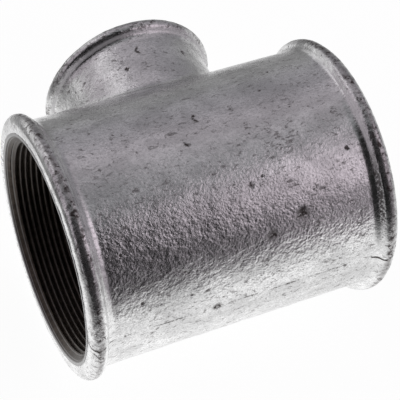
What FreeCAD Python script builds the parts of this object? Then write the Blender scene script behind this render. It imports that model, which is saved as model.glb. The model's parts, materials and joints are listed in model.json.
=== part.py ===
import FreeCAD, Part
import math
import os

# A 3 inch pipe tee with a 2 inch branch: one hollow malleable iron casting with three banded,
# internally threaded ends. It lies on the ground as it comes to rest, on the bands of its run
# and on the lowest point of the band of its branch.

# Driving dimensions in millimetres.

# From the crossing of the two axes to the end faces.
run_reach = 64.0
branch_reach = 73.0

# Parallel pipe threads, 11 turns to the inch. Each bore is the thread's crest, as it is bored
# before it is tapped.
run_thread_outer_diameter = 87.884
branch_thread_outer_diameter = 59.614
thread_depth = 1.479
run_thread_length = 28.0
branch_thread_length = 23.0
run_mouth_relief = 1.9
branch_mouth_relief = 1.5

# Iron outside the threads, and the cored waterway behind them.
run_wall = 6.15
branch_wall = 4.0
core_relief = 0.6
core_step_length = 2.0

# Rounded bands at the ends, each with a small flare down to the barrel behind it.
run_band_width = 7.2
run_band_rise = 3.7
branch_band_width = 6.0
branch_band_rise = 3.7
flare_length = 3.3
flare_rise = 1.0

# Rounding outside, where the branch leaves the run.
saddle_radius = 3.5

# How far a cutting shape passes the face that it opens, and how near counts as the same place.
past_face = 1.0
same_place = 0.01

# Sizes that follow.
run_thread_outer = run_thread_outer_diameter / 2
branch_thread_outer = branch_thread_outer_diameter / 2
run_barrel = run_thread_outer + run_wall
branch_barrel = branch_thread_outer + branch_wall
run_band_section = run_band_width / 2
branch_band_section = branch_band_width / 2
run_band_ring = run_barrel + run_band_rise - run_band_section
branch_band_ring = branch_barrel + branch_band_rise - branch_band_section

CROSSING = FreeCAD.Vector(0, 0, 0)
RUN_AXIS = FreeCAD.Vector(1, 0, 0)
BRANCH_AXIS = FreeCAD.Vector(0, 1, 0)
UP = FreeCAD.Vector(0, 0, 1)


def at(along, out):
    """A point of an outline, along the run's axis and out from it."""
    return FreeCAD.Vector(along, 0, out)


def lines(*points):
    """Straight edges from point to point."""
    return [Part.makeLine(a, b) for a, b in zip(points, points[1:])]


def arc(start, middle, end):
    return Part.Arc(start, middle, end).toShape()


def turned(edges):
    """The solid that a closed outline sweeps round the run's axis."""
    return Part.Face(Part.Wire(edges)).revolve(CROSSING, RUN_AXIS, 360)


def arm(reach, barrel, band_ring, band_section):
    """One arm of the casting, solid, from the crossing out along the run's axis to its end face."""
    band_middle = reach - band_section
    crease_out = barrel + flare_rise
    crease_along = band_middle - math.sqrt(band_section**2 - (crease_out - band_ring)**2)
    flare_start = crease_along - flare_length
    flare_radius = (flare_length**2 + flare_rise**2) / (2 * flare_rise)
    half_turn = math.asin(flare_length / flare_radius) / 2

    crossing_edge = at(0, barrel)
    flare_foot = at(flare_start, barrel)
    flare_middle = at(
        flare_start + flare_radius * math.sin(half_turn),
        barrel + flare_radius * (1 - math.cos(half_turn)),
    )
    crease = at(crease_along, crease_out)
    band_top = at(band_middle, band_ring + band_section)
    face_edge = at(reach, band_ring)
    return turned(
        lines(CROSSING, crossing_edge, flare_foot)
        + [arc(flare_foot, flare_middle, crease), arc(crease, band_top, face_edge)]
        + lines(face_edge, at(reach, 0), CROSSING)
    )


def hollow(reach, thread_outer, thread_length, mouth_relief):
    """The room inside one arm: the cored waterway, the threaded bore and its bevelled mouth."""
    core = thread_outer + core_relief
    bore = thread_outer - thread_depth
    mouth = thread_outer + mouth_relief
    thread_start = reach - thread_length
    bevel = mouth - bore
    return turned(
        lines(
            CROSSING,
            at(0, core),
            at(thread_start - core_step_length, core),
            at(thread_start, bore),
            at(reach - bevel, bore),
            at(reach, mouth),
            at(reach + past_face, mouth),
            at(reach + past_face, 0),
            CROSSING,
        )
    )


def all_three(run_arm, branch_arm):
    """Both arms of the run and the arm of the branch, as one solid."""
    other_arm = run_arm.copy()
    other_arm.rotate(CROSSING, UP, 180)
    side_arm = branch_arm.copy()
    side_arm.rotate(CROSSING, UP, 90)
    return run_arm.fuse([other_arm, side_arm]).removeSplitter()


def saddle_edges(shape):
    """The edges of the curve along which the branch's barrel leaves the run's barrel."""
    found = []
    for edge in shape.Edges:
        middle = edge.valueAt((edge.FirstParameter + edge.LastParameter) / 2)
        off_run = middle.distanceToLine(CROSSING, RUN_AXIS) - run_barrel
        off_branch = middle.distanceToLine(CROSSING, BRANCH_AXIS) - branch_barrel
        if abs(off_run) < same_place and abs(off_branch) < same_place:
            found.append(edge)
    return found


def tee():
    """The whole casting, with its run along X, its branch along Y and the crossing at the origin."""
    body = all_three(
        arm(run_reach, run_barrel, run_band_ring, run_band_section),
        arm(branch_reach, branch_barrel, branch_band_ring, branch_band_section),
    )
    body = body.makeFillet(saddle_radius, saddle_edges(body))
    room = all_three(
        hollow(run_reach, run_thread_outer, run_thread_length, run_mouth_relief),
        hollow(branch_reach, branch_thread_outer, branch_thread_length, branch_mouth_relief),
    )
    return body.cut(room)


def droop():
    """The angle, in radians, by which the branch points down when its band rests on the ground."""
    band_centre = branch_reach - branch_band_section
    reach_of_ring = math.hypot(band_centre, branch_band_ring)
    drop = run_barrel + run_band_rise - branch_band_section
    return math.asin(drop / reach_of_ring) - math.atan2(branch_band_ring, band_centre)


def laid_down(shape):
    """The tee as it lies, its lowest points at height 0 and its box centred on the origin."""
    angle = droop()
    back = run_barrel + run_band_rise
    band_centre = branch_reach - branch_band_section
    front = (
        band_centre * math.cos(angle)
        + branch_band_ring * math.sin(angle)
        + branch_band_section
    )
    shape.rotate(CROSSING, RUN_AXIS, -math.degrees(angle))
    shape.translate(FreeCAD.Vector(0, (back - front) / 2, back))
    return shape


os.makedirs("parts", exist_ok=True)
laid_down(tee()).exportStep("parts/tee_body.step")
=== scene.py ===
import json
import math

import bmesh
import bpy
import numpy as np
from mathutils import Matrix, Vector, noise


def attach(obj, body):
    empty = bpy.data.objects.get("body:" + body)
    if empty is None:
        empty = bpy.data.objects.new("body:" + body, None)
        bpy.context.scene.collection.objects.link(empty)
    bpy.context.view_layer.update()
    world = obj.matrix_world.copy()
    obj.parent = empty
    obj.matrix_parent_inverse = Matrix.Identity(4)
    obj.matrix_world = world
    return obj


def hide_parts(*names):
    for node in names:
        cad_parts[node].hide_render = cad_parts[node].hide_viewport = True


# A galvanized pipe tee. The casting's skin is modelled here as rough zinc over sand-cast iron, and
# each mouth gets its cut thread. Lengths are metres.
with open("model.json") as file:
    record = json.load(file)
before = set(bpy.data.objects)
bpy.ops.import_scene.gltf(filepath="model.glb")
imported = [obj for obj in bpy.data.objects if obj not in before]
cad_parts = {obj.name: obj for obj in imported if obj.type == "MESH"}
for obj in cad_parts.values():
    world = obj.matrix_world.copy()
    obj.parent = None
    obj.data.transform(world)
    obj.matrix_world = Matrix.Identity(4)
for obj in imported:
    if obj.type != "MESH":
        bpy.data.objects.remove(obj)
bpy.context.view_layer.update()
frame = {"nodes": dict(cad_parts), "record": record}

MM = 0.001
RIGHT = (1, 0, 0)
BACK = (0, 1, 0)
UP = (0, 0, 1)

# The casting, as the frame has it.
RUN_REACH = 64 * MM
BRANCH_REACH = 73 * MM
RUN_BARREL = 50.092 * MM
RUN_BAND_LENGTH = 7.1 * MM
RUN_FLARE_LENGTH = 3.3 * MM
BRANCH_BAND_LENGTH = 6.0 * MM
RUN_BAND_START = RUN_REACH - RUN_BAND_LENGTH
RUN_FLARE_START = RUN_BAND_START - RUN_FLARE_LENGTH
BRANCH_BAND_START = BRANCH_REACH - BRANCH_BAND_LENGTH

# Threads, 11 turns to the inch. Behind each one its lining opens by a step to the cored waterway.
PITCH = 25.4 / 11 * MM
THREAD_DEPTH = 1.479 * MM
RUN_THREAD = 28 * MM
RUN_BEVEL = 1.9 * MM
BRANCH_THREAD = 23 * MM
BRANCH_BEVEL = 1.5 * MM
CORE_RELIEF = 0.6 * MM
CORE_STEP = 2.0 * MM
LINING_TAIL = CORE_STEP * 1.3

# How fine the skin is, and how far its bores stand back behind the cut threads.
SKIN_GRAIN = 0.83 * MM
BORE_SET_BACK = 1.4 * MM
LIP_WIDTH = 1.05 * MM
SKIN_EDGE = 0.3 * MM
SKIN_EDGE_DEPTH = 0.6 * MM

# How near two vertices are one, how near a place counts as at a limit, and how far the faces of the
# threads lie inside those of the solid.
MERGE = 0.001 * MM
NEAR = 0.02 * MM
FACE_SET_BACK = 0.01 * MM

MOUNTS = {mount["name"]: mount for mount in frame["record"]["mounts"]}
CROSSING = (Vector(MOUNTS["run_end_left"]["pos_m"]) + Vector(MOUNTS["run_end_right"]["pos_m"])) / 2


class Mouth:
    """One threaded end: its axis, pointing out, and the sizes of its thread."""

    def __init__(self, name, reach, thread_length, bevel):
        mount = MOUNTS[name]
        self.axis = Vector(mount["axis"]).normalized()
        self.bore = mount["dims"]["r_mm"] * MM
        self.root = self.bore + THREAD_DEPTH
        self.core = self.root + CORE_RELIEF
        self.edge = self.root + bevel
        self.reach = reach
        self.thread_length = thread_length
        self.lining_length = thread_length + LINING_TAIL
        self.face = CROSSING + self.axis * (reach - FACE_SET_BACK)

    def along_and_out(self, place):
        """How far out along the mouth's axis a place lies, and the way from the axis to it."""
        along = (place - CROSSING).dot(self.axis)
        return along, place - CROSSING - self.axis * along

    def placed(self):
        """Turns Z to the mouth's axis and puts the origin in the middle of its end face."""
        turn = self.axis.to_track_quat("Z", "Y").to_matrix().to_4x4()
        return Matrix.Translation(self.face) @ turn


MOUTHS = {
    "thread_run_left": Mouth("run_end_left", RUN_REACH, RUN_THREAD, RUN_BEVEL),
    "thread_run_right": Mouth("run_end_right", RUN_REACH, RUN_THREAD, RUN_BEVEL),
    "thread_branch": Mouth("branch_end", BRANCH_REACH, BRANCH_THREAD, BRANCH_BEVEL),
}
BRANCH_AXIS = MOUTHS["thread_branch"].axis
PARTING = MOUTHS["thread_run_right"].axis.cross(BRANCH_AXIS)


# Nodes

class Wire:
    """An output of a node. Arithmetic on it adds Math nodes."""

    def __init__(self, nodes, socket):
        self.nodes = nodes
        self.socket = socket

    def math(self, operation, *values, clamp=False):
        settings = {"operation": operation, "use_clamp": clamp}
        return self.nodes.add("ShaderNodeMath", settings, dict(enumerate(values)))

    def __add__(self, other):
        return self.math("ADD", self, other)

    def __radd__(self, other):
        return self.math("ADD", other, self)

    def __sub__(self, other):
        return self.math("SUBTRACT", self, other)

    def __rsub__(self, other):
        return self.math("SUBTRACT", other, self)

    def __mul__(self, other):
        return self.math("MULTIPLY", self, other)

    def __rmul__(self, other):
        return self.math("MULTIPLY", other, self)

    def __truediv__(self, other):
        return self.math("DIVIDE", self, other)

    def __rtruediv__(self, other):
        return self.math("DIVIDE", other, self)

    def __abs__(self):
        return self.math("ABSOLUTE", self)

    def clamped(self):
        return self.math("ADD", self, 0.0, clamp=True)


class Nodes:
    """The node tree of one finish, of the floor or of the surroundings."""

    def __init__(self, owner):
        owner.use_nodes = True
        self.tree = owner.node_tree
        self.tree.nodes.clear()

    def add(self, kind, settings=None, inputs=None, output=0):
        node = self.tree.nodes.new(kind)
        for name, value in (settings or {}).items():
            if name == "stops":
                self.set_stops(node.color_ramp, value)
            else:
                setattr(node, name, value)
        for name, value in (inputs or {}).items():
            if isinstance(value, Wire):
                self.tree.links.new(value.socket, node.inputs[name])
            else:
                node.inputs[name].default_value = value
        return Wire(self, node.outputs[output]) if node.outputs else None

    def set_stops(self, ramp, stops):
        while len(ramp.elements) < len(stops):
            ramp.elements.new(0.5)
        for element, (place, colour) in zip(ramp.elements, stops):
            element.position = place
            element.color = colour

    def mix(self, factor, first, second):
        """A colour that goes from the first to the second."""
        settings = {"data_type": "RGBA"}
        return self.add("ShaderNodeMix", settings, {0: factor, 6: first, 7: second}, output=2)

    def step(self, value, start, end):
        """0 before start, 1 after end, and smooth between them."""
        settings = {"interpolation_type": "SMOOTHSTEP"}
        return self.add("ShaderNodeMapRange", settings, {0: value, 1: start, 2: end, 3: 0.0, 4: 1.0})

    def line(self, offset, width, core):
        """1 where an offset lies within its core, 0 from its width on, and smooth between them."""
        return self.step(abs(offset), width, core)

    def place(self):
        return self.add("ShaderNodeTexCoord", output="Object")

    def shrunk_along(self, share):
        """The place on the part, with its way along the run shrunk to a share, to draw noise out."""
        settings = {"operation": "MULTIPLY"}
        return self.add("ShaderNodeVectorMath", settings, {0: self.place(), 1: (share, 1, 1)})

    def grain(self, size, detail=2.0, roughness=0.5, distortion=0.0, place=None):
        """Soft noise between 0 and 1, with patches of about the given size."""
        settings = {"Vector": place or self.place(), "Scale": 1 / size, "Detail": detail,
                    "Roughness": roughness, "Distortion": distortion}
        return self.add("ShaderNodeTexNoise", None, settings)

    def attribute(self, name):
        return self.add("ShaderNodeAttribute", {"attribute_name": name}, output="Fac")

    def towards(self, direction, place=None):
        """How far a place lies along a direction."""
        inputs = {0: place or self.place(), 1: direction}
        return self.add("ShaderNodeVectorMath", {"operation": "DOT_PRODUCT"}, inputs, output="Value")

    def side(self, direction, start, end, place=None):
        """0 up to the start along a direction, 1 from its end on, and smooth between them."""
        return self.step(self.towards(direction, place), start, end)

    def away_from(self, centre, place=None):
        """How far a place lies from a centre."""
        inputs = {0: place or self.place(), 1: centre}
        return self.add("ShaderNodeVectorMath", {"operation": "DISTANCE"}, inputs, output="Value")

    def finish(self, height, strength, distance, sockets):
        """Closes a finish: bumps of the given height on a surface with the given sockets."""
        bumps = {"Strength": strength, "Distance": distance, "Height": height}
        normal = self.add("ShaderNodeBump", None, bumps)
        surface = self.add("ShaderNodeBsdfPrincipled", None, {**sockets, "Normal": normal})
        self.add("ShaderNodeOutputMaterial", None, {"Surface": surface})


def grey(level, red=0.0, blue=0.0):
    """A near grey, with a little more or less red and blue."""
    return (level * (1 + red), level, level * (1 + blue), 1.0)


# Finish of the zinc

CLEAN_ZINC = grey(0.99)
DULL_ZINC = grey(0.74)
STREAKED_ZINC = grey(0.52)
GRAINY_ZINC = grey(0.36)
# A painted highlight: the brighter, pinker zinc of the front's glint zone.
PAINTED_GLINT_ZINC = grey(1.0, 0.03, 0.02)
# A painted highlight: the pale lines in the creases, beside the saddle and on the zinc drops.
PAINTED_HIGHLIGHT_ZINC = grey(1.0)
# Dirt, which also carries the painted shade of the zinc drops.
DIRT_AND_PAINTED_SHADE = grey(0.07, 0.2, -0.05)

# How large the patches of its noises are, how far they shift a line, and how high its bumps stand.
PATCHES = 11 * MM
MOTTLE = 3.0 * MM
PEBBLES = 1.0 * MM
PITS = 1.3 * MM
STREAKS = 0.8 * MM
FINE_GRAIN = 0.5 * MM
LINE_BREAKS = 5 * MM
SPECKS = 1.3 * MM
SPECKLED_PATCHES = 7 * MM
SOOT = 2.4 * MM
BLOTCHES = 1.9 * MM
BLOTCHED_PATCHES = 8 * MM
WANDER = 1.6 * MM
ZINC_BUMPS = 0.3 * MM

# The front brightens towards its right end, on its upper half: a painted highlight of its glints.
# Towards that end its zinc is also more pebbled. From where to where.
BRIGHT_END = (-20 * MM, 45 * MM)
UPPER_HALF = (76 * MM, 88 * MM)

# The parting line runs beside the plane of the two axes. It is cracked across the run bands, where
# it also steps a little aside.
PARTING_RISE = 1.5 * MM
PARTING_WIDTH = 0.50 * MM
PARTING_CORE = 0.15 * MM
CRACK_CORE = 0.20 * MM
LEFT_CRACK_START = (-60.6 * MM, -61.4 * MM)
LEFT_CRACK_STEP = 0.5 * MM
RIGHT_CRACK_START = (53.6 * MM, 54.6 * MM)
RIGHT_CRACK_END = (60.4 * MM, 59.2 * MM)
RIGHT_CRACK_STEP = 0.6 * MM

# The creases behind the bands, and the line beside the saddle at its radius round the run, where painted
# highlight lines lie. The line in each has a width and a core.
RUN_CREASE = RUN_BAND_START + 0.2 * MM
RUN_CREASE_LINE = (0.9 * MM, 0.2 * MM)
RUN_CREASE_LEVELS = (88 * MM, 99 * MM)
BRANCH_CREASE = BRANCH_BAND_START + 0.1 * MM
BRANCH_CREASE_LINE = (0.75 * MM, 0.15 * MM)
SADDLE_RADIUS = 53.8 * MM
SADDLE_LINE = (0.7 * MM, 0.1 * MM)
SADDLE_LINE_START = (-13 * MM, -20 * MM)
SADDLE_LINE_END = (-29 * MM, -26 * MM)
SADDLE_LINE_REACH = (30 * MM, 40 * MM)
DARKENED_CREASE_LINE = (1.0 * MM, 0.4 * MM)
DARKENED_CREASE_SIDE = (50 * MM, 55 * MM)
DARKENED_CREASE_FRONT = (-20 * MM, -28 * MM)
DARKENED_CREASE_LOW = (81 * MM, 88 * MM)
DARKENED_CREASE_HIGH = (103 * MM, 97 * MM)

# Few blotches lie in the run's creases and near its faces.
CREASE_START = (56 * MM, 56.5 * MM)
CREASE_END = (59.2 * MM, 58.2 * MM)
NEAR_FACE = (62.4 * MM, 63.4 * MM)

# Single marks in the zinc: where each lies on the part, and its radius. A smudge fades out and is
# full at the given shares of its radius.
SMUDGE_EDGE = 1.5
SMUDGE_CORE = 0.2
# A zinc drop's ring, with painted shade on its left side and a painted highlight on its right.
SWIRL_LINE = (0.9 * MM, 0.1 * MM)
SWIRL_PAINTED_SHADE_SIDE = (-0.2 * MM, 1.0 * MM)
SMUDGES = (
    (Vector((25.0, -44.2, 92.3)) * MM, 2.6 * MM),
    (Vector((11.3, -47.8, 89.0)) * MM, 2.2 * MM),
    (Vector((7.2, -30.4, 100.1)) * MM, 0.9 * MM),
    (Vector((12.5, -28.5, 100.8)) * MM, 0.8 * MM),
    (Vector((-23.0, -56.4, 77.7)) * MM, 1.0 * MM),
    (Vector((-42.9, -54.9, 80.6)) * MM, 0.9 * MM),
    (Vector((-24.9, -50.4, 86.3)) * MM, 1.1 * MM),
    (Vector((-12.6, -60.6, 67.7)) * MM, 1.6 * MM),
    (Vector((-47.9, -40.5, 95.4)) * MM, 0.8 * MM),
    (Vector((49.0, -27.5, 101.6)) * MM, 0.7 * MM),
    (Vector((35.9, 15.3, 95.1)) * MM, 0.7 * MM),
    (Vector((-10.5, -9.1, 103.3)) * MM, 0.8 * MM),
    (Vector((-9.1, 44.8, 72.4)) * MM, 0.9 * MM),
    (Vector((17.4, 48.4, 67.8)) * MM, 1.0 * MM),
)
# Small zinc drops, ringed with painted shade at their left and a painted highlight at their right.
SWIRLS = (
    (Vector((-1.5, 1.2, 101.5)) * MM, 1.5 * MM),
    (Vector((-0.5, 52.0, 71.8)) * MM, 1.6 * MM),
)
FLECKED = Vector((24.0, -17.0, 103.0)) * MM
FLECKED_REACH = (11 * MM, 3 * MM)


class ZincNodes(Nodes):
    """The nodes of the zinc, with the places and noises that several of its marks share."""

    def __init__(self, owner):
        super().__init__(owner)
        self.hammered = self.attribute("hammered")
        self.on_band = self.attribute("on_band")
        self.on_flare = self.attribute("on_flare")
        self.to_right = self.towards(RIGHT)
        self.level = self.towards(UP)
        self.run_along = abs(self.to_right)
        self.branch_along = self.towards(BRANCH_AXIS) - CROSSING.dot(BRANCH_AXIS)
        self.mottle = self.grain(MOTTLE, 3.0, 0.6)
        self.pebbles = self.grain(PEBBLES, 2.0, 0.6)
        self.wander = (self.mottle - 0.5) * WANDER
        self.bright_end = self.hammered * self.step(self.to_right, *BRIGHT_END)


def parting_line(nodes):
    """The mould's parting line, broken along its way, and the cracks where it crosses the bands."""
    left = nodes.step(nodes.to_right, *LEFT_CRACK_START)
    right = nodes.step(nodes.to_right, *RIGHT_CRACK_START) * nodes.step(nodes.to_right, *RIGHT_CRACK_END)
    crack = left + right
    offset = nodes.towards(PARTING) - CROSSING.dot(PARTING) - PARTING_RISE + nodes.wander * 0.6
    offset = offset - left * LEFT_CRACK_STEP + right * RIGHT_CRACK_STEP
    line = nodes.line(offset, PARTING_WIDTH, PARTING_CORE + crack * CRACK_CORE)
    stretches = nodes.step(nodes.grain(LINE_BREAKS), 0.42, 0.56)
    broken = stretches * (0.2 + nodes.step(nodes.pebbles, 0.42, 0.56) * 0.5)
    return line * (broken * (1 - nodes.on_band) + crack).clamped()


def specks(nodes):
    """Small dark dashes that lie along the run, in patches and most of all at one place."""
    flecked = nodes.step(nodes.away_from(FLECKED), *FLECKED_REACH)
    dashes = nodes.grain(SPECKS, 2.0, 0.6, 0.8, nodes.shrunk_along(0.5))
    speckled = nodes.step(nodes.grain(SPECKLED_PATCHES, 3.0, 0.6), 0.38, 0.54)
    return nodes.step(dashes - flecked * 0.06, 0.455, 0.29) * (speckled + flecked).clamped()


def blotches(nodes):
    """Dark blotches on the bands."""
    spots = nodes.step(nodes.grain(BLOTCHES, 3.0, 0.75), 0.46, 0.62) * nodes.on_band
    in_crease = nodes.step(nodes.run_along, *CREASE_START) * nodes.step(nodes.run_along, *CREASE_END)
    spots = spots * (1 - in_crease) * (1 - nodes.step(nodes.run_along, *NEAR_FACE) * 0.6)
    return spots * nodes.step(nodes.grain(BLOTCHED_PATCHES, 2.0, 0.6), 0.36, 0.60)


def dirt_in_patches(nodes):
    """The grime that lies in patches: specks, soot, blotches and the crests of the bands, dark from
    wear.
    """
    soot = nodes.step(nodes.grain(SOOT, 3.0, 0.75, 0.0, nodes.shrunk_along(0.75)), 0.40, 0.28)
    crests = nodes.attribute("on_crest") * (0.45 + nodes.step(nodes.mottle, 0.40, 0.60) * 0.55)
    return specks(nodes) * 0.62 + soot * 0.5 + blotches(nodes) * 0.75 + crests * 0.5


def off_run_crease(nodes):
    """How far a place is from the crease behind the nearer band of the run."""
    return nodes.run_along - RUN_CREASE + nodes.wander * 0.15


def painted_highlight_lines(nodes):
    """Painted highlights: pale lines in the creases behind the bands and at one side of the saddle."""
    off_branch_crease = nodes.branch_along - BRANCH_CREASE + nodes.wander * 0.15
    branch_crease = nodes.line(off_branch_crease, *BRANCH_CREASE_LINE)
    run_crease = nodes.line(off_run_crease(nodes), *RUN_CREASE_LINE)
    run_crease = run_crease * nodes.step(nodes.level, *RUN_CREASE_LEVELS)
    off_axis = nodes.away_from((0, CROSSING.y, CROSSING.z), nodes.shrunk_along(0))
    saddle = nodes.line(off_axis - SADDLE_RADIUS + nodes.wander * 0.2, *SADDLE_LINE)
    saddle = saddle * nodes.step(nodes.to_right, *SADDLE_LINE_START)
    saddle = saddle * nodes.step(nodes.to_right, *SADDLE_LINE_END)
    saddle = saddle * nodes.step(nodes.branch_along, *SADDLE_LINE_REACH)
    return branch_crease + run_crease * 0.5 + saddle


def darkened_crease(nodes):
    """A darkened stretch in the crease behind the right band, at the front, with small gaps."""
    crease = nodes.line(off_run_crease(nodes), *DARKENED_CREASE_LINE)
    crease = crease * nodes.step(nodes.to_right, *DARKENED_CREASE_SIDE)
    crease = crease * nodes.side(BACK, *DARKENED_CREASE_FRONT)
    crease = crease * nodes.step(nodes.level, *DARKENED_CREASE_LOW)
    crease = crease * nodes.step(nodes.level, *DARKENED_CREASE_HIGH)
    return crease * nodes.step(nodes.pebbles, 0.62, 0.46)


def smudges(nodes):
    """Single dark smudges with ragged edges."""
    dark = 0.0
    for centre, radius in SMUDGES:
        away = nodes.away_from(centre) + nodes.wander * 2.5
        near = nodes.step(away, radius * SMUDGE_EDGE, radius * SMUDGE_CORE)
        dark = dark + near * nodes.step(nodes.pebbles, 0.25, 0.5)
    return dark


def swirls(nodes):
    """Rings round small zinc drops, with painted shade at the left and a painted highlight at the right:
    their painted shade and their painted highlight.
    """
    dark = 0.0
    pale = 0.0
    for centre, radius in SWIRLS:
        ring = nodes.line(nodes.away_from(centre) - radius + nodes.wander * 1.3, *SWIRL_LINE)
        painted_shade_side = nodes.step(centre.x - nodes.to_right, *SWIRL_PAINTED_SHADE_SIDE)
        dark = dark + ring * painted_shade_side * nodes.step(nodes.pebbles, 0.34, 0.50) * 0.9
        pale = pale + ring * (1 - painted_shade_side) * nodes.step(nodes.pebbles, 0.40, 0.55) * 0.7
    return dark, pale


def zinc():
    """Hot-dip zinc over rough iron: bright where it ran smooth, dull and pitted elsewhere."""
    material = bpy.data.materials.new("zinc_over_cast_iron")
    nodes = ZincNodes(material)
    patches = nodes.grain(PATCHES, 3.0, 0.6, 0.5, nodes.shrunk_along(0.6))
    streaks = nodes.grain(STREAKS, 3.0, 0.7, 0.3, nodes.shrunk_along(0.75))
    pits = nodes.add("ShaderNodeTexVoronoi", {"feature": "SMOOTH_F1"}, {
        "Vector": nodes.place(), "Scale": 1 / PITS, "Smoothness": 0.5})

    worn_and_painted_glint = nodes.mix(nodes.step(patches, 0.38, 0.62), DULL_ZINC, CLEAN_ZINC)
    worn_and_painted_glint = nodes.mix(nodes.step(streaks, 0.42, 0.64) * 0.5, worn_and_painted_glint, STREAKED_ZINC)
    fine = nodes.step(nodes.grain(FINE_GRAIN, 1.0), 0.50, 0.68)
    worn_and_painted_glint = nodes.mix(fine * (0.18 + nodes.hammered * 0.27), worn_and_painted_glint, GRAINY_ZINC)
    # Painted highlight: the glint zone at the upper right of the front is painted brighter.
    lit = nodes.bright_end * nodes.step(nodes.level, *UPPER_HALF)
    worn_and_painted_glint = nodes.mix(lit * 0.7, worn_and_painted_glint, PAINTED_GLINT_ZINC)

    swirl_painted_shade, swirl_painted_highlight = swirls(nodes)
    # Marks: the parting line, the darkened crease, smudges, and the painted shade at the left of the
    # zinc drops.
    marks = parting_line(nodes) * 0.9 + darkened_crease(nodes) * 0.85 + smudges(nodes) + swirl_painted_shade
    # Painted highlight: the pale lines and the pale sides of the zinc drops.
    pale = (painted_highlight_lines(nodes) + swirl_painted_highlight).clamped() * (1 - marks.clamped())
    # Dirt and painted shade darken the colour together.
    dirt_and_painted_shade = (dirt_in_patches(nodes) + marks).clamped() * (1 - pale)
    colour = nodes.mix(dirt_and_painted_shade, nodes.mix(pale, worn_and_painted_glint, PAINTED_HIGHLIGHT_ZINC), DIRT_AND_PAINTED_SHADE)

    rough = nodes.hammered * 0.12 + nodes.bright_end * 0.35
    height = nodes.pebbles * (0.35 + rough - nodes.on_flare * 0.2)
    height = height + pits * (0.06 + nodes.hammered * 0.16 + nodes.bright_end * 0.24)
    height = height + nodes.mottle * (0.25 - nodes.on_band * 0.1)
    height = height + streaks * (0.3 - nodes.on_flare * 0.15 - nodes.on_band * 0.1) - marks * 0.5
    nodes.finish(height, 1.0, ZINC_BUMPS, {
        "Base Color": colour,
        "Metallic": 1.0 - dirt_and_painted_shade * 0.5 - pale * 0.65,
        "Roughness": 0.13 + patches * 0.10 + nodes.mottle * 0.06 - nodes.on_band * 0.06 + dirt_and_painted_shade * 0.2})
    return material


# Finish of the threads

THREAD_DARK = (0.045, 0.035, 0.028, 1)
THREAD_LIGHT = (0.090, 0.072, 0.058, 1)
BARE_DARK = grey(0.40)
BARE_LIGHT = grey(0.62)

OIL_FILM = 2.5 * MM
CUT_STREAKS = 0.5 * MM
TOOL_MARKS = 0.55 * MM
RIM_DEPTH = 0.4 * MM
TURNED_DEPTH = (3.4 * MM, 2.4 * MM)
IRON_BUMPS = 0.1 * MM


def cut_iron():
    """Tapped iron, oiled and nearly black, with light on its crests, its bevel and its bare rim."""
    material = bpy.data.materials.new("oiled_cut_iron")
    nodes = Nodes(material)
    film = nodes.grain(OIL_FILM, 3.0, 0.6)
    streaks = nodes.grain(CUT_STREAKS, 2.0, 0.5)
    depth = nodes.attribute("depth")
    crest = nodes.attribute("crest")
    rim = nodes.step(depth, RIM_DEPTH, 0.0)
    turned = nodes.add("ShaderNodeTexNoise", {"noise_dimensions": "1D"}, {
        "W": depth, "Scale": 1 / TOOL_MARKS, "Detail": 1.0, "Roughness": 0.5})
    turned = nodes.step(turned, 0.50, 0.66) * nodes.step(depth, *TURNED_DEPTH)
    thread = nodes.mix(nodes.step(film, 0.35, 0.7), THREAD_DARK, THREAD_LIGHT)
    bare = nodes.mix(streaks, BARE_DARK, BARE_LIGHT)
    nodes.finish(streaks, 0.4, IRON_BUMPS, {
        "Base Color": nodes.mix((rim * 0.8 + crest * 0.08 + turned * 0.45).clamped(), thread, bare),
        "Metallic": 0.6 + rim * 0.3,
        "Roughness": 0.34 + film * 0.1,
        "Specular IOR Level": 0.25})
    return material


# Pieces

def finished(name, mesh, finish):
    """A piece of the tee, at the origin, with its finish, riding on the tee's one body."""
    piece = bpy.data.objects.new(name, mesh)
    bpy.context.scene.collection.objects.link(piece)
    mesh.materials.clear()
    mesh.materials.append(finish)
    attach(piece, "root")
    return piece


# One turn of the thread's outline: how far along the pitch, and how far from crest to root.
THREAD_OUTLINE = ((0.0, 0.0), (0.09, 0.06), (0.2, 0.3), (0.36, 0.8),
                  (0.5, 1.0), (0.64, 0.8), (0.8, 0.3), (0.91, 0.06))
THREAD_STEPS = 120
CREST_SHARE = 0.1
SHARP_ANGLE = math.radians(40)


def thread_radius(mouth, thread, depth):
    """The thread's own radius, opened by the bevel at the mouth and the step behind the thread."""
    bevel = mouth.edge - depth
    core_slope = (mouth.core - mouth.bore) / CORE_STEP
    run_out = mouth.bore + (depth - mouth.thread_length) * core_slope
    return max(thread, bevel, run_out)


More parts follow.
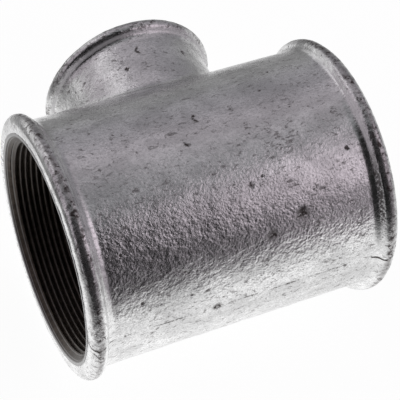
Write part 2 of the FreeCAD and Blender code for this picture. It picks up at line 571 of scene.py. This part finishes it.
def cut_thread(bm, mouth):
    """The thread's own face: its outline spun to a helix, cut off at both ends and opened there."""
    turns = math.ceil(mouth.lining_length / PITCH) + 2
    column = []
    for turn in range(turns):
        for along, depth in THREAD_OUTLINE:
            place = (mouth.bore + depth * THREAD_DEPTH, 0, (along + turn + 1 - turns) * PITCH)
            column.append(bm.verts.new(place))
    edges = [bm.edges.new(pair) for pair in zip(column, column[1:])]
    bmesh.ops.spin(bm, geom=column + edges, axis=UP, cent=(0, 0, 0), dvec=(0, 0, PITCH / THREAD_STEPS),
                   angle=math.tau, steps=THREAD_STEPS, use_merge=False, use_duplicate=False)
    bmesh.ops.remove_doubles(bm, verts=bm.verts, dist=MERGE)
    for height, clear_outer in ((0, True), (-mouth.lining_length, False)):
        bmesh.ops.bisect_plane(bm, geom=bm.verts[:] + bm.edges[:] + bm.faces[:], plane_co=(0, 0, height),
                               plane_no=UP, clear_outer=clear_outer, clear_inner=not clear_outer)
    crest = bm.verts.layers.float.new("crest")
    for vert in bm.verts:
        out = Vector((vert.co.x, vert.co.y))
        radius = thread_radius(mouth, out.length, -vert.co.z)
        vert[crest] = float(radius < mouth.bore + CREST_SHARE * THREAD_DEPTH)
        vert.co.xy = out.normalized() * radius


def only(kind, geometry):
    """The elements of one kind among those that an operator made."""
    return [element for element in geometry if isinstance(element, kind)]


def close_ring(bm, mouth):
    """The machined lip, the outside and the back, which make the thread's face a closed ring."""
    back = -mouth.lining_length
    open_edges = [edge for edge in bm.edges if edge.is_boundary]
    mouth_edges = [edge for edge in open_edges if all(vert.co.z > -MERGE for vert in edge.verts)]
    back_edges = [edge for edge in open_edges if all(vert.co.z < MERGE + back for vert in edge.verts)]
    lip = bmesh.ops.extrude_edge_only(bm, edges=mouth_edges)["geom"]
    for vert in only(bmesh.types.BMVert, lip):
        vert.co.xy = vert.co.xy.normalized() * (mouth.edge + LIP_WIDTH)
    outside = bmesh.ops.extrude_edge_only(bm, edges=only(bmesh.types.BMEdge, lip))["geom"]
    for vert in only(bmesh.types.BMVert, outside):
        vert.co.z = back
    bmesh.ops.bridge_loops(bm, edges=only(bmesh.types.BMEdge, outside) + back_edges)
    bmesh.ops.recalc_face_normals(bm, faces=bm.faces)


def thread_ring(name, mouth, finish):
    """The tapped lining of a mouth: a closed ring with its thread inside and a machined lip."""
    bm = bmesh.new()
    cut_thread(bm, mouth)
    close_ring(bm, mouth)
    depth = bm.verts.layers.float.new("depth")
    for vert in bm.verts:
        vert[depth] = -vert.co.z
    bmesh.ops.transform(bm, matrix=mouth.placed(), verts=bm.verts)
    for face in bm.faces:
        face.smooth = True
    mesh = bpy.data.meshes.new(name)
    bm.to_mesh(mesh)
    bm.free()
    mesh.set_sharp_from_angle(angle=SHARP_ANGLE)
    finished(name, mesh, finish)


def lies_inside(place):
    """True in the room inside the tee, out to just past the edges of its mouths."""
    for mouth in MOUTHS.values():
        along, out = mouth.along_and_out(place)
        if along > 0 and out.length < mouth.edge + SKIN_EDGE:
            return True
    return False


def frame_faces(keep_inside):
    """The inner or the outer faces of the frame's solid, as one open mesh."""
    bm = bmesh.new()
    bm.from_mesh(frame["nodes"]["tee_body"].data)
    bmesh.ops.remove_doubles(bm, verts=bm.verts, dist=MERGE)
    unwanted = [face for face in bm.faces if lies_inside(face.calc_center_median()) != keep_inside]
    bmesh.ops.delete(bm, geom=unwanted, context="FACES")
    return bm


def waterway():
    """The room inside the tee. Its bores are wider than they are, to lie behind the cut threads."""
    bm = frame_faces(keep_inside=True)
    for vert in bm.verts:
        for mouth in MOUTHS.values():
            along, out = mouth.along_and_out(vert.co)
            if along > mouth.reach - mouth.thread_length - NEAR and out.length < mouth.edge + NEAR:
                along = min(along, mouth.reach - SKIN_EDGE_DEPTH)
                out = out.normalized() * (mouth.root + BORE_SET_BACK)
                vert.co = CROSSING + mouth.axis * along + out
    return bm


def open_edges_at(bm, mouth):
    """The edges round the open end of a mesh at one mouth."""
    found = []
    for edge in bm.edges:
        if edge.is_boundary:
            along, out = mouth.along_and_out(edge.verts[0].co)
            if along > mouth.reach - 2 * SKIN_EDGE_DEPTH and out.length < mouth.edge + 3 * SKIN_GRAIN:
                found.append(edge)
    return found


def join_to_waterway(mesh):
    """Cuts the three mouths into the solid skin and joins their edges to those of the waterway."""
    bm = waterway()
    bm.from_mesh(mesh)
    for mouth in MOUTHS.values():
        covers = []
        for vert in bm.verts:
            along, out = mouth.along_and_out(vert.co)
            if along > mouth.reach - SKIN_EDGE_DEPTH + NEAR and out.length < mouth.edge + SKIN_EDGE:
                covers.append(vert)
        bmesh.ops.delete(bm, geom=covers, context="VERTS")
        edges = open_edges_at(bm, mouth)
        for vert in {vert for edge in edges for vert in edge.verts}:
            along, out = mouth.along_and_out(vert.co)
            if out.length > mouth.edge:
                vert.co = CROSSING + mouth.axis * along + out.normalized() * (mouth.edge + SKIN_EDGE)
        bmesh.ops.bridge_loops(bm, edges=edges)
    bmesh.ops.holes_fill(bm, edges=[edge for edge in bm.edges if edge.is_boundary])
    bmesh.ops.recalc_face_normals(bm, faces=bm.faces)
    bm.to_mesh(mesh)
    bm.free()


def applied(maker):
    """The mesh that an object's modifiers make. The object itself goes."""
    bpy.context.view_layer.update()
    mesh = bpy.data.meshes.new_from_object(maker.evaluated_get(bpy.context.evaluated_depsgraph_get()))
    bpy.data.objects.remove(maker)
    return mesh


def solid_skin():
    """The outside of the casting with its mouths covered over, in an even fine mesh."""
    bm = frame_faces(keep_inside=False)
    bmesh.ops.holes_fill(bm, edges=[edge for edge in bm.edges if edge.is_boundary])
    mesh = bpy.data.meshes.new("solid_skin")
    bm.to_mesh(mesh)
    bm.free()
    maker = bpy.data.objects.new("solid_skin", mesh)
    bpy.context.scene.collection.objects.link(maker)
    remesh = maker.modifiers.new("even mesh", "REMESH")
    remesh.mode = "VOXEL"
    remesh.voxel_size = SKIN_GRAIN
    return applied(maker)


# The zinc's relief: how large its waves, lumps and orange peel are, how high they stand, and how far
# the skin is set back so that it stays inside the solid.
WAVE_SIZE = 16 * MM
LUMP_SIZE = 4.5 * MM
PEEL_SIZE = 2.1 * MM
WAVE_HEIGHT = 0.10 * MM
LUMP_HEIGHT = 0.05 * MM
LUMPS_ON_BAND = 0.03 * MM
PEEL_HEIGHT = 0.03 * MM
PEEL_HAMMERED = 0.06 * MM
PEEL_BRIGHT_END = 0.04 * MM
PEEL_ON_BAND = 0.04 * MM
RELIEF_SET_BACK = 0.15 * MM
NOISE_SHIFT = (7.3, 3.1, 5.7)

# Where the bands, the flares and the crests of the bands fade in.
RUN_BAND_EDGE = (RUN_BAND_START - 0.5 * MM, RUN_BAND_START + 0.8 * MM)
RUN_FLARE_EDGE = (RUN_FLARE_START - 0.8 * MM, RUN_FLARE_START + 0.8 * MM)
BRANCH_BAND_EDGE = (BRANCH_BAND_START - 0.4 * MM, BRANCH_BAND_START + 0.9 * MM)
RUN_CREST = RUN_REACH - RUN_BAND_LENGTH / 2
CREST_EDGE = (1.8 * MM, 0.6 * MM)

# The edges of the hammered front, in degrees round the run, up from level at the front. The upper
# one falls towards the right, by so many degrees a metre.
FRONT_UPPER_EDGE = (72, 46)
FRONT_LOWER_EDGE = (-25, 0)
FRONT_SLOPE = 300


def noises(places, size, seed):
    """Soft noise from -1 to 1 at each place, with lumps of about the given size."""
    shift = Vector([seed * part for part in NOISE_SHIFT])
    return np.array([noise.noise(Vector(place) / size + shift) for place in places])


def smooth_step(values, start, end):
    fraction = np.clip((values - start) / (end - start), 0, 1)
    return fraction * fraction * (3 - 2 * fraction)


def read_vectors(vertices, name):
    """One vector of each vertex, as rows of an array."""
    values = np.empty(len(vertices) * 3)
    vertices.foreach_get(name, values)
    return values.reshape(-1, 3)


def zones(places):
    """How far each place of the skin belongs to the hammered front, a band, a flare and a crest."""
    from_crossing = places - np.array(CROSSING)
    run_along = np.abs(from_crossing[:, 0])
    run_out = np.hypot(from_crossing[:, 1], from_crossing[:, 2])
    branch_along = from_crossing @ np.array(BRANCH_AXIS)
    turn = np.degrees(np.arctan2(from_crossing[:, 2], -from_crossing[:, 1]))
    sloped = turn + from_crossing[:, 0] * FRONT_SLOPE
    front = smooth_step(turn, *FRONT_LOWER_EDGE) * smooth_step(sloped, *FRONT_UPPER_EDGE)
    on_barrel = (run_out > RUN_BARREL - MM) * (branch_along < RUN_BARREL)
    on_band = np.maximum(
        smooth_step(run_along, *RUN_BAND_EDGE), smooth_step(branch_along, *BRANCH_BAND_EDGE))
    on_flare = smooth_step(run_along, *RUN_FLARE_EDGE) * (1 - on_band)
    return {
        "hammered": front * (1 - on_band) * (1 - on_flare) * on_barrel,
        "on_band": on_band,
        "on_flare": on_flare,
        "on_crest": smooth_step(np.abs(run_along - RUN_CREST), *CREST_EDGE)}


def cast_relief(places, zone):
    """How far the zinc stands out at each place, always a little under the solid's own face."""
    bright_end = smooth_step(places[:, 0] - CROSSING.x, *BRIGHT_END)
    peel_height = PEEL_HEIGHT + zone["hammered"] * (PEEL_HAMMERED + bright_end * PEEL_BRIGHT_END)
    peel_height = peel_height + PEEL_ON_BAND * zone["on_band"]
    lump_height = LUMP_HEIGHT + LUMPS_ON_BAND * zone["on_band"]
    relief = WAVE_HEIGHT * noises(places, WAVE_SIZE, 1)
    relief += lump_height * noises(places, LUMP_SIZE, 2)
    relief += peel_height * noises(places, PEEL_SIZE, 3)
    return relief - RELIEF_SET_BACK


def cast_skin(finish):
    """The zinc-coated casting: the outside in a fine mesh with its cast relief, and the waterway."""
    mesh = solid_skin()
    places = read_vectors(mesh.vertices, "co")
    normals = read_vectors(mesh.vertices, "normal")
    zone = zones(places)
    places += normals * cast_relief(places, zone)[:, None]
    mesh.vertices.foreach_set("co", places.reshape(-1))
    for name, values in zone.items():
        layer = mesh.attributes.new(name, "FLOAT", "POINT")
        layer.data.foreach_set("value", values.astype(np.float32))
    join_to_waterway(mesh)
    for polygon in mesh.polygons:
        polygon.use_smooth = True
    skin = finished("cast_skin", mesh, finish)
    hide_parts("tee_body")


# Camera, floor and light

CAMERA_PLACE = Vector((-174.953, -219.257, 557.068)) * MM
CAMERA_FORWARD = Vector((0.31110071, 0.36287024, -0.87837437))
CAMERA_RIGHT = Vector((0.91088879, -0.37749675, 0.16666676))
LENS = 128.09
SENSOR_WIDTH = 36.0
NEAREST_SEEN = 0.01


def camera():
    """The view of the photo."""
    data = bpy.data.cameras.new("camera")
    data.lens = LENS
    data.sensor_width = SENSOR_WIDTH
    data.clip_start = NEAREST_SEEN
    piece = bpy.data.objects.new("camera", data)
    up = CAMERA_RIGHT.cross(CAMERA_FORWARD)
    turn = Matrix((CAMERA_RIGHT, up, -CAMERA_FORWARD)).transposed().to_4x4()
    piece.matrix_world = Matrix.Translation(CAMERA_PLACE) @ turn
    bpy.context.scene.collection.objects.link(piece)
    bpy.context.scene.camera = piece


TABLE_RADIUS = 3.0
TABLE_PAINT = grey(0.85)
TABLE_STRENGTH = 1.12
TABLE_LIT_SHARE = 0.85

# The sides of the table top that the zinc mirrors brighter or dimmer: a direction from the tee, and
# where along it the side begins and is full. The glow lies in a direction alone.
TABLE_FRONT = ((0.35, -0.94, 0), -0.14, 0.0)
TABLE_NEAR_SIDE = ((-0.85, -0.53, 0), 0.10, 0.32)
TABLE_FAR_SIDE = ((0.87, 0.50, 0), 0.05, 0.18)
TABLE_BACK = ((-0.55, 0.83, 0), 0.08, 0.15)
TABLE_GLOW = (-0.45, 0.89, 0)
AROUND_TEE = (0.17, 0.11)
BESIDE_TEE = (0.12, 0.08)
NEAR_TEE = (0.32, 0.22)


def floor():
    """A wide white table top with the tee's shadow. The camera sees it evenly white, and the zinc
    mirrors it bright in front and dimmer at the sides and behind."""
    bm = bmesh.new()
    bmesh.ops.create_circle(bm, cap_ends=True, segments=64, radius=TABLE_RADIUS)
    mesh = bpy.data.meshes.new("table_top")
    bm.to_mesh(mesh)
    bm.free()
    piece = bpy.data.objects.new("table_top", mesh)
    bpy.context.scene.collection.objects.link(piece)
    material = bpy.data.materials.new("white_table")
    nodes = Nodes(material)
    seen = nodes.add("ShaderNodeLightPath", output="Is Camera Ray")
    mirrored = nodes.add("ShaderNodeLightPath", output="Is Glossy Ray")
    distance = nodes.away_from((0, 0, 0))
    front = (nodes.side(*TABLE_FRONT) + nodes.step(distance, *AROUND_TEE)).clamped()
    near = nodes.step(distance, *NEAR_TEE)
    glow = nodes.step(nodes.towards(TABLE_GLOW) / distance, 0.82, 0.95) * (1 - near)
    bright = 0.42 + front * (0.54 + nodes.step(distance, *BESIDE_TEE) * 0.14)
    bright = bright * (1 - nodes.side(*TABLE_NEAR_SIDE) * 0.75) * (1 - nodes.side(*TABLE_FAR_SIDE) * 0.4)
    bright = bright * (1 - nodes.side(*TABLE_BACK) * near * 0.42) + glow * 0.4
    paint = nodes.add("ShaderNodeBsdfDiffuse", None, {"Color": TABLE_PAINT})
    lit = nodes.add("ShaderNodeEmission", None, {
        "Color": grey(1.0), "Strength": (seen + (1 - seen) * bright) * TABLE_STRENGTH})
    direct = (seen + mirrored).clamped()
    surface = nodes.add("ShaderNodeMixShader", None, {0: direct * TABLE_LIT_SHARE, 1: paint, 2: lit})
    nodes.add("ShaderNodeOutputMaterial", None, {"Surface": surface})
    mesh.materials.append(material)


# The room as the tee sees it, from the floor over level to the ceiling. Level is at 0.5.
WALL_STOPS = (
    (0.0, grey(0.9)), (0.49, grey(0.9)), (0.51, grey(0.35, 0.09, 0.08)), (0.75, grey(0.39, 0.10, 0.09)),
    (0.90, grey(0.38, 0.06, 0.07)), (1.0, grey(0.23, -0.02, 0.04)))

# Its dark side, and the dim and the bright part of its back: a direction, and the cosines of the
# angles from it at which the part begins and is full.
DARK_SIDE = ((-0.418, -0.644, 0.641), math.cos(math.radians(55)), math.cos(math.radians(38)))
DARK_LOW = ((0.190, -0.976, 0.105), 0.84, 0.99)
DARK_WALL = grey(0.015)
DIM_BACK = ((0.62, 0.77, 0.15), 0.20, 0.80)
DIM_WALL = grey(0.20, -0.04, 0.06)
GLOW_BACK = ((-0.37, 0.925, 0.087), 0.91, 0.985)
GLOW_WALL = grey(0.66, 0.02, 0.03)


def surroundings():
    """A pale room that dims towards its ceiling, with one dark side. The camera sees it white."""
    world = bpy.data.worlds.new("studio")
    bpy.context.scene.world = world
    nodes = Nodes(world)
    direction = nodes.add("ShaderNodeTexCoord", output="Generated")
    height = nodes.add("ShaderNodeSeparateXYZ", None, {0: direction}, output="Z")
    walls = nodes.add("ShaderNodeValToRGB", {"stops": WALL_STOPS}, {0: height * 0.5 + 0.5})
    dim = nodes.side(*DIM_BACK, direction) * nodes.step(height, 0.68, 0.45)
    walls = nodes.mix(dim * 0.6, walls, DIM_WALL)
    walls = nodes.mix(nodes.side(*GLOW_BACK, direction) * 0.8, walls, GLOW_WALL)
    low = nodes.side(*DARK_LOW, direction) * nodes.step(height, -0.02, 0.06)
    dark = nodes.side(*DARK_SIDE, direction) + low * 0.5
    shade = nodes.mix(dark.clamped(), walls, DARK_WALL)
    seen = nodes.add("ShaderNodeLightPath", output="Is Camera Ray")
    colour = nodes.mix(seen, shade, grey(1.0))
    background = nodes.add("ShaderNodeBackground", None, {"Color": colour, "Strength": 1.0})
    nodes.add("ShaderNodeOutputWorld", None, {"Surface": background})


def soft_lamp(name, place, size, power, colour=(1, 1, 1)):
    """A round soft lamp that points at the middle of the tee."""
    data = bpy.data.lights.new(name, "AREA")
    data.shape = "DISK"
    data.size = size
    data.energy = power
    data.color = colour
    piece = bpy.data.objects.new(name, data)
    piece.location = place
    piece.rotation_euler = (CROSSING - Vector(place)).to_track_quat("-Z", "Y").to_euler()
    bpy.context.scene.collection.objects.link(piece)


bpy.context.scene.view_settings.view_transform = "Standard"
camera()
floor()
surroundings()
soft_lamp("lamp_right", place=(0.345, -0.212, 0.500), size=0.45, power=0.18, colour=(1, 0.85, 0.95))
soft_lamp("lamp_left", place=(-0.255, 0.428, 0.372), size=0.24, power=0.06)

zinc_finish = zinc()
iron_finish = cut_iron()
cast_skin(zinc_finish)
for ring_name, ring_mouth in MOUTHS.items():
    thread_ring(ring_name, ring_mouth, iron_finish)
